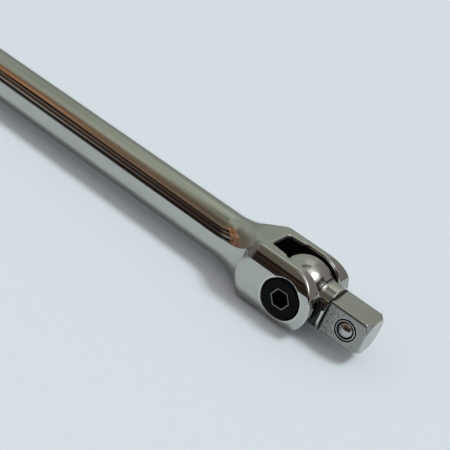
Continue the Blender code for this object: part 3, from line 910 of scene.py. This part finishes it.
def make_head(material):
    """The drive head, meshed finer round the detent hole. Weights mark its sides, and its painted
    shade with some grime.
    """
    coarse, fine = HEAD_GRID, HEAD_FINE_GRID
    wide = KNUCKLE_R + MARGIN
    half = COLLAR_R + MARGIN
    hole = STAKE_R + 0.7
    xs = steps((-wide, coarse), (DETENT_X - hole, fine), (DETENT_X + hole, coarse),
               (DRIVE_END + MARGIN, coarse))
    ys = steps((-half, coarse), (-SQUARE_HALF - 0.4, fine), (-SQUARE_HALF + 0.8, coarse),
               (half, coarse))
    zs = steps((-wide, coarse), (-hole, fine), (hole, coarse), (wide, coarse))
    grid = (xs, ys, zs)
    head = add_solid("head", head_field, grid, "head", material, ["drive_head"])
    x, y, z = places_of(head)
    across = np.abs(y)
    # Painted shade, partly grime: the neck's sides towards the bottom, a line in the neck's crease,
    # a band of the ball beside the collar where a highlight would fall, a line at the square's
    # shoulder, the detent hole's mouth and stake groove, and the pivot recess.
    lower_neck_shade = smooth(across, 4.2, 6.4) * smooth(x, 6.5, 8.5) * smooth(x, 13.3, 12.5)
    lower_neck_shade = lower_neck_shade * smooth(z, 6.0, 3.0)
    neck_crease_shade = 0.6 * smooth(np.abs(x - 8.5), 0.7, 0.2)
    by_collar_shade = 0.56 * smooth(x, 5.6, 6.8) * smooth(x, 8.7, 8.2) * smooth(across, 0.8, 2.6)
    shoulder_shade = 0.9 * smooth(np.abs(x - SHOULDER_X), 0.45, 0.2) * smooth(across, 4.0, 5.5)
    shoulder_shade = shoulder_shade * smooth(across, 7.0, 6.6)
    from_hole = np.where(y < 0.0, np.hypot(x - DETENT_X, z), 99.0)
    mouth = 0.9 * smooth(from_hole, MOUTH_R + 0.1, MOUTH_R - 0.05)
    groove = 0.85 * smooth(np.abs(from_hole - STAKE_R), STAKE_HALF, 0.5 * STAKE_HALF)
    recess = smooth(np.hypot(x, z), RECESS_R + 0.3, RECESS_R)
    recess = recess * smooth(across, 6.8, 6.6) * smooth(across, 5.0, 5.5)
    grime = np.max([lower_neck_shade, neck_crease_shade, by_collar_shade, shoulder_shade, mouth, groove, recess], axis=0)
    side = np.abs(point_values(head, "normal")[:, 1]) ** 8
    add_weights(head, side=side, grime=grime)


def make_pivot(material):
    """The screw and its sleeve nut, meshed finer at their heads."""
    disc = steps((-HEAD_R - SMALL_MARGIN, PIVOT_GRID), (HEAD_R + SMALL_MARGIN, PIVOT_GRID))
    fine = PIVOT_FACE_GRID
    ys = steps((-HEAD_TOP - SMALL_MARGIN, fine), (-HEAD_TOP + HEAD_EDGE, SCREW_GRID),
               (SCREW_END + SMALL_MARGIN, SCREW_GRID))
    grid = (disc, ys, disc)
    node = "pivot_screw"
    add_solid("screw", screw_field, grid, "handle", material, [node], 0.4)
    ys = steps((SLEEVE_NEAR - SMALL_MARGIN, NUT_GRID), (HEAD_TOP - HEAD_EDGE, fine),
               (HEAD_TOP + SMALL_MARGIN, fine))
    grid = (disc, ys, disc)
    node = "pivot_sleeve_nut"
    add_solid("sleeve_nut", nut_field, grid, "handle", material, [node], 0.4)


def make_washers(material):
    """Two thrust rings, and a split lock ring whose ends stand apart along the axis."""
    for label in ("near", "far"):
        node = "thrust_washer_" + label
        low, high = span(node, 1)
        outer = span(node, 2)[1]
        middle = (THRUST_INNER_R + outer) / 2.0
        outline = washer_outline(low, high, THRUST_INNER_R, middle, outer, WASHER_EDGE)
        name = "thrust_ring_" + label
        add_turned(name, outline, "Y", 96, "head", material, [node])
    low, high = span("lock_washer", 1)
    outer = span("lock_washer", 2)[1]
    corners = washer_outline(low, high, LOCK_INNER_R, LOCK_MIDDLE_R, outer, LOCK_EDGE)
    count = 90
    rows = []
    for i in range(count + 1):
        share = i / count
        angle = LOCK_GAP + (2.0 * math.pi - 2.0 * LOCK_GAP) * share
        lift = LOCK_LIFT * (share - 0.5)
        rows.append([(r * math.cos(angle), y + lift, r * math.sin(angle)) for y, r in corners[:-1]])
    around = len(corners) - 1
    faces = rows_to_faces(count + 1, around).tolist()
    faces += [list(range(around)), [count * around + i for i in reversed(range(around))]]
    points = np.array(rows).reshape(-1, 3)
    ring = weld(add_piece("lock_ring", points, faces, "handle", material, ["lock_washer"]))
    ring.data.set_sharp_from_angle(angle=SHARP_TURN)


def make_plunger(material, wire):
    """The round-nosed plunger, and its spring, which is squashed towards the bore's closed end."""
    back, nose = (end - PIVOT for end in span("tension_plunger", 0))
    radius = span("tension_plunger", 2)[1]
    collar = back + STEM_LENGTH
    outline = [(back, 0.0), (back, STEM_R), (collar, STEM_R), (collar, radius)]
    outline = rounded(outline + [(nose - radius, radius)], PLUNGER_EDGE)
    count = 24
    for i in range(1, count + 1):
        turn = 0.5 * math.pi * i / count
        outline.append((nose - radius + radius * math.sin(turn), radius * math.cos(turn)))
    outline[-1] = (nose, 0.0)
    node = "tension_plunger"
    add_turned("plunger", outline, "X", 72, "plunger", material, [node])
    node = "tension_spring"
    start, end = (end - PIVOT for end in span(node, 0))
    offset = (0.0, 0.0, 0.0)
    spring = add_spring("plunger_spring", "X", start, end, PLUNGER_COIL, offset,
                        "handle", wire, [node])
    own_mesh(spring)


def make_detent(material, wire):
    """The detent ball, and its spring, which is squashed towards the hole's closed end."""
    low, high = span("detent_ball", 1)
    reach = DETENT_R + SMALL_MARGIN
    xs = steps((DETENT_X - reach, BALL_GRID), (DETENT_X + reach, BALL_GRID))
    ys = steps((low - SMALL_MARGIN, BALL_GRID), (high + SMALL_MARGIN, BALL_GRID))
    zs = steps((-reach, BALL_GRID), (reach, BALL_GRID))
    grid = (xs, ys, zs)
    node = "detent_ball"
    add_solid("ball", detent_field, grid, "detent", material, [node])
    node = "detent_spring"
    start, end = span(node, 1)
    offset = (DETENT_X, 0.0, 0.0)
    spring = add_spring("ball_spring", "Y", start, end, DETENT_COIL, offset, "head", wire, [node])
    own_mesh(spring)


# ---------------------------------------------------------------- stage

CAMERA_PLACE = (0.05652, -0.25036, 0.15932)
CAMERA_TURN = (58.907, -18.721, 37.128)
CAMERA_LENS = 70.39
# Azimuth and elevation of the window's glow in the room, and of the sun lamp that stands for it.
KEY_PLACE = (109.0, 67.0)
SUN_PLACE = (116.0, 63.0)
KEY_POWER = 1.46
KEY_COLOUR = (0.88, 1.0, 1.0)
KEY_WIDTH = 18.0


def make_camera():
    camera = bpy.data.objects.new("camera", bpy.data.cameras.new("camera"))
    bpy.context.scene.collection.objects.link(camera)
    camera.location = CAMERA_PLACE
    camera.rotation_euler = [math.radians(turn) for turn in CAMERA_TURN]
    camera.data.lens = CAMERA_LENS
    camera.data.sensor_width = 36.0
    camera.data.clip_start = 0.01
    camera.data.clip_end = 50.0
    bpy.context.scene.camera = camera


def towards(azimuth, elevation):
    """A direction. Azimuth 0 is -Y, the camera's side, and 90 is +X."""
    flat = math.cos(math.radians(elevation))
    rise = math.sin(math.radians(elevation))
    turn = math.radians(azimuth)
    return Vector((math.sin(turn) * flat, -math.cos(turn) * flat, rise))


def make_light():
    """Light of a wide, far window. The room's own bright pane is what polished faces show of it."""
    light = bpy.data.objects.new("window", bpy.data.lights.new("window", "SUN"))
    bpy.context.scene.collection.objects.link(light)
    light.rotation_euler = towards(*SUN_PLACE).to_track_quat("Z", "Y").to_euler()
    light.data.energy = KEY_POWER
    light.data.color = KEY_COLOUR
    light.data.angle = math.radians(KEY_WIDTH)
    light.visible_glossy = False


def make_floor(material):
    """The sheet that the bar lies on."""
    mesh = bpy.data.meshes.new("floor")
    half = 6.0
    corners = [(-half, -half), (half, -half), (half, half), (-half, half)]
    mesh.from_pydata([(x, y, LOWEST) for x, y in corners], [], [(0, 1, 2, 3)])
    mesh.materials.append(material)
    floor = bpy.data.objects.new("floor", mesh)
    bpy.context.scene.collection.objects.link(floor)


# What the camera sees past the sheet.
BACKDROP = (0.655, 0.715, 0.745)
# The room around the bar, which only reflections show, as colours by elevation in degrees.
ROOM_BACK = [
    (-5.0, (0.33, 0.345, 0.31)), (14.0, (0.35, 0.37, 0.33)), (30.0, (0.42, 0.45, 0.40)),
    (44.0, (0.58, 0.62, 0.53)), (60.0, (0.70, 0.73, 0.62)), (66.0, (0.35, 0.35, 0.30)),
    (70.0, (0.20, 0.20, 0.17)), (75.0, (0.48, 0.49, 0.44)), (84.0, (0.74, 0.78, 0.72)),
]
ROOM_WARM = [
    (-5.0, (0.27, 0.16, 0.12)), (22.0, (0.28, 0.15, 0.10)), (27.0, (0.52, 0.28, 0.19)),
    (31.0, (0.52, 0.28, 0.18)), (36.0, (0.36, 0.17, 0.08)), (42.0, (0.52, 0.27, 0.16)),
    (47.0, (0.48, 0.26, 0.15)), (52.0, (0.27, 0.18, 0.12)), (62.0, (0.27, 0.23, 0.16)),
    (72.0, (0.38, 0.36, 0.28)), (84.0, (0.8, 0.8, 0.75)),
]
ROOM_FRONT = [
    (-4.0, (0.24, 0.24, 0.23)), (1.0, (0.20, 0.20, 0.19)), (5.0, (0.06, 0.06, 0.055)),
    (7.5, (0.006, 0.004, 0.003)), (12.5, (0.006, 0.004, 0.003)), (14.0, (0.24, 0.22, 0.20)),
    (15.0, (0.34, 0.31, 0.28)), (19.0, (0.32, 0.28, 0.25)), (20.5, (0.05, 0.04, 0.03)),
    (24.0, (0.07, 0.05, 0.04)), (28.0, (0.035, 0.026, 0.018)), (31.0, (0.17, 0.13, 0.10)),
    (35.0, (0.18, 0.13, 0.10)), (36.5, (0.004, 0.002, 0.001)), (40.5, (0.004, 0.002, 0.001)),
    (42.5, (0.27, 0.18, 0.13)), (50.0, (0.23, 0.155, 0.105)), (58.0, (0.11, 0.10, 0.085)),
    (70.0, (0.16, 0.16, 0.14)), (84.0, (0.8, 0.8, 0.78)),
]
ROOM_RIGHT = [
    (-5.0, (0.24, 0.22, 0.21)), (30.0, (0.27, 0.245, 0.235)), (48.0, (0.34, 0.32, 0.30)),
    (58.0, (0.50, 0.52, 0.49)), (75.0, (0.90, 0.95, 0.90)),
]
DIM_WALL = (0.20, 0.17, 0.14)
PALE_WALL = (0.46, 0.49, 0.49)
NEAR_DARK = (0.022, 0.013, 0.011)
NEAR_OLIVE = (0.15, 0.145, 0.115)
THREADS = (0.06, 0.03, 0.02)
GLOW = (1.2, 1.2, 1.15)
WINDOW = (3.0, 3.0, 2.9)
ROOM_STRENGTH = 1.15
# What the sheet and other matt faces get from the room, away from the camera's side and towards it.
SKY_FAR = (0.312, 0.30, 0.312)
SKY_NEAR = (0.57, 0.545, 0.56)
SWEEP_LOW = -10.0
SWEEP_SPAN = 100.0


class World:
    """The room's node tree, with the ways of Shader to add nodes that it needs."""

    def __init__(self, name):
        self.world = bpy.data.worlds.new(name)
        bpy.context.scene.world = self.world
        self.world.use_nodes = True
        self.tree = self.world.node_tree

    node = Shader.node
    link = Shader.link
    maths = Shader.maths
    times = Shader.times
    plus = Shader.plus
    ramp = Shader.ramp
    mix = Shader.mix
    cover = Shader.cover

    def sweep(self, elevation, stops):
        """Colours by elevation."""
        share = self.maths("DIVIDE", self.plus(elevation, -SWEEP_LOW), SWEEP_SPAN)
        made = self.tree.nodes.new("ShaderNodeValToRGB")
        self.link(share, made.inputs[0])
        points = made.color_ramp.elements
        while len(points) < len(stops):
            points.new(0.5)
        for point, (level, tint) in zip(points, stops):
            point.position = (level - SWEEP_LOW) / SWEEP_SPAN
            point.color = (*tint, 1.0)
        return made.outputs[0]


def make_world():
    """A pale room with a dark figure before the bar and something warm and brown to its left."""
    room = World("room")
    coords = room.node("ShaderNodeTexCoord", {}, output="Generated")
    parts = room.tree.nodes.new("ShaderNodeSeparateXYZ")
    room.link(coords, parts.inputs[0])
    x, y, z = parts.outputs
    azimuth = room.maths("DEGREES", room.maths("ARCTAN2", x, room.times(y, -1.0)))
    elevation = room.maths("DEGREES", room.maths("ARCSINE", z))
    # Borders that are set by level and turn waver, and the others are straight.
    wobble = room.node("ShaderNodeTexNoise", {"Vector": coords, "Scale": 3.0, "Detail": 3.0})
    sway = room.times(room.maths("SUBTRACT", wobble, 0.5), 9.0)
    level = room.plus(elevation, sway)
    turn = room.plus(azimuth, room.times(sway, 1.5))

    # Behind the bar. Towards the left it is darker high up, and dim low down.
    shade = room.sweep(level, ROOM_BACK)
    high = room.times(room.ramp(turn, -150.0, -130.0), room.ramp(level, 30.0, 42.0))
    shade = room.cover(shade, high, 0.3, (0.0, 0.0, 0.0))
    low = room.times(room.ramp(turn, -112.0, -84.0), room.ramp(level, 52.0, 40.0))
    shade = room.mix(low, shade, DIM_WALL)

    # The warm thing, with dark threads drawn along it.
    high = room.times(room.ramp(turn, -98.0, -66.0), room.ramp(level, 48.0, 54.0))
    warm = room.maths("MAXIMUM", room.ramp(turn, -79.0, -70.0), high)
    shade = room.mix(warm, shade, room.sweep(level, ROOM_WARM))
    grid = room.node("ShaderNodeCombineXYZ", {
        0: room.times(turn, 0.30), 1: room.times(level, 0.035),
    })
    threads = room.node("ShaderNodeTexNoise", {"Vector": grid, "Scale": 1.0, "Detail": 3.0})
    threads = room.times(room.ramp(threads, 0.50, 0.60), room.ramp(turn, -78.0, -66.0))
    shade = room.cover(shade, threads, 0.8, THREADS)

    # The dark figure before the bar.
    front = room.sweep(level, ROOM_FRONT)
    near = room.times(room.ramp(turn, -40.0, -26.0), room.ramp(level, 62.0, 54.0))
    near_tone = room.mix(room.ramp(level, 40.5, 43.0), NEAR_DARK, NEAR_OLIVE)
    front = room.mix(room.times(near, 0.85), front, near_tone)
    shade = room.mix(room.ramp(turn, -57.0, -49.0), shade, front)

    # The right side, with a pale wall low down.
    right = room.maths("MAXIMUM", room.ramp(azimuth, 95.0, 128.0),
                       room.ramp(azimuth, -164.0, -180.0))
    shade = room.mix(right, shade, room.sweep(level, ROOM_RIGHT))
    beside = room.times(room.ramp(azimuth, 60.0, 72.0), room.ramp(azimuth, 116.0, 106.0))
    beside = room.times(beside, room.ramp(elevation, 33.0, 26.0))
    shade = room.mix(beside, shade, PALE_WALL)

    def facing(direction, low, high):
        """Smooth step in the cosine of the angle from a direction."""
        near = room.node("ShaderNodeVectorMath", {0: coords, 1: direction},
                         output="Value", operation="DOT_PRODUCT")
        return room.ramp(near, low, high)

    # The window: its glow, and its pane.
    glow = facing(towards(*KEY_PLACE), math.cos(math.radians(24.0)), math.cos(math.radians(10.0)))
    shade = room.cover(shade, glow, 0.8, GLOW)
    across = room.times(room.ramp(azimuth, 82.0, 87.0), room.ramp(azimuth, 142.0, 136.0))
    up = room.times(room.ramp(elevation, 56.0, 58.5), room.ramp(elevation, 79.0, 76.0))
    shade = room.mix(room.times(across, up), shade, WINDOW)
    shade = room.node("ShaderNodeVectorMath", {0: shade, "Scale": ROOM_STRENGTH},
                      operation="SCALE")
    sky = room.mix(facing(towards(-10.0, 40.0), -0.3, 1.0), SKY_FAR, SKY_NEAR)

    # Matt faces get the plain sky, the camera sees the backdrop, and mirrors show the room.
    path = room.tree.nodes.new("ShaderNodeLightPath")
    shade = room.mix(path.outputs["Is Diffuse Ray"], shade, sky)
    background = room.tree.nodes["Background"]
    room.link(shade, background.inputs["Color"])
    plain = room.tree.nodes.new("ShaderNodeBackground")
    plain.inputs["Color"].default_value = (*BACKDROP, 1.0)
    choose = room.tree.nodes.new("ShaderNodeMixShader")
    room.link(path.outputs["Is Camera Ray"], choose.inputs[0])
    room.link(background.outputs[0], choose.inputs[1])
    room.link(plain.outputs[0], choose.inputs[2])
    room.link(choose.outputs[0], room.tree.nodes["World Output"].inputs["Surface"])


bpy.context.scene.view_settings.view_transform = "Standard"
chrome = polished_chrome("chrome")
steel = ground_steel("hardened_steel", STEEL, 0.12, (2.0, 0.3, 2.0))
wire = ground_steel("spring_steel", SPRING_STEEL, 0.25, (3.0, 3.0, 3.0))
black = black_oxide("black_oxide")
make_camera()
make_floor(paper("paper"))
make_world()
make_light()
make_handle(chrome)
make_grip(chrome)
make_head(machined_head("satin_chrome"))
make_pivot(black)
make_washers(steel)
make_plunger(steel, wire)
make_detent(steel, wire)
